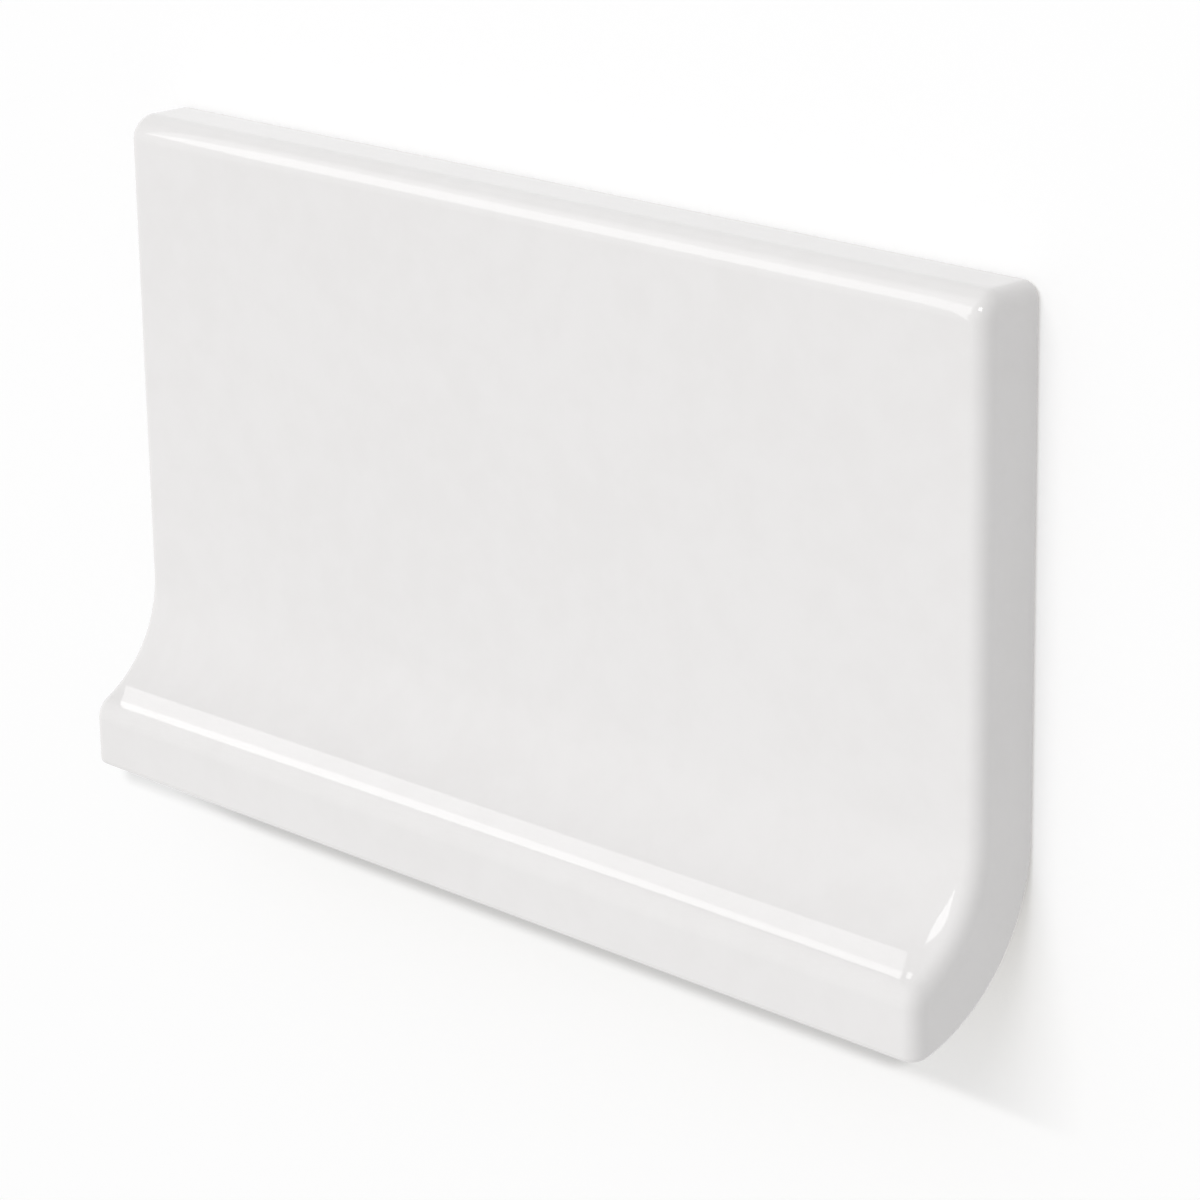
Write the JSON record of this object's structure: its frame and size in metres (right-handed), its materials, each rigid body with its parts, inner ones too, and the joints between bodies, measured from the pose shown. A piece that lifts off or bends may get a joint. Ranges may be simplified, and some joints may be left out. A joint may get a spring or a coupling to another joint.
{
  "type": "cove base trim tile",
  "caption": "Glazed ceramic cove base tile: a flat wall leaf that bends through a smooth cove into a short square-ended toe, with rolled edges.",
  "frame": {"origin": "on the plane of the tile's back, under the middle of its length and height", "axes": "+X along the tile, +Y up its wall leaf from the toe to the top edge, +Z off the wall, out of the glazed face"},
  "size_m": [0.1524, 0.0888, 0.0203],
  "materials": {
    "glaze": "gloss"
  },
  "bodies": {
    "root": {"cove_tile": "glaze"}
  },
  "joints": []
}
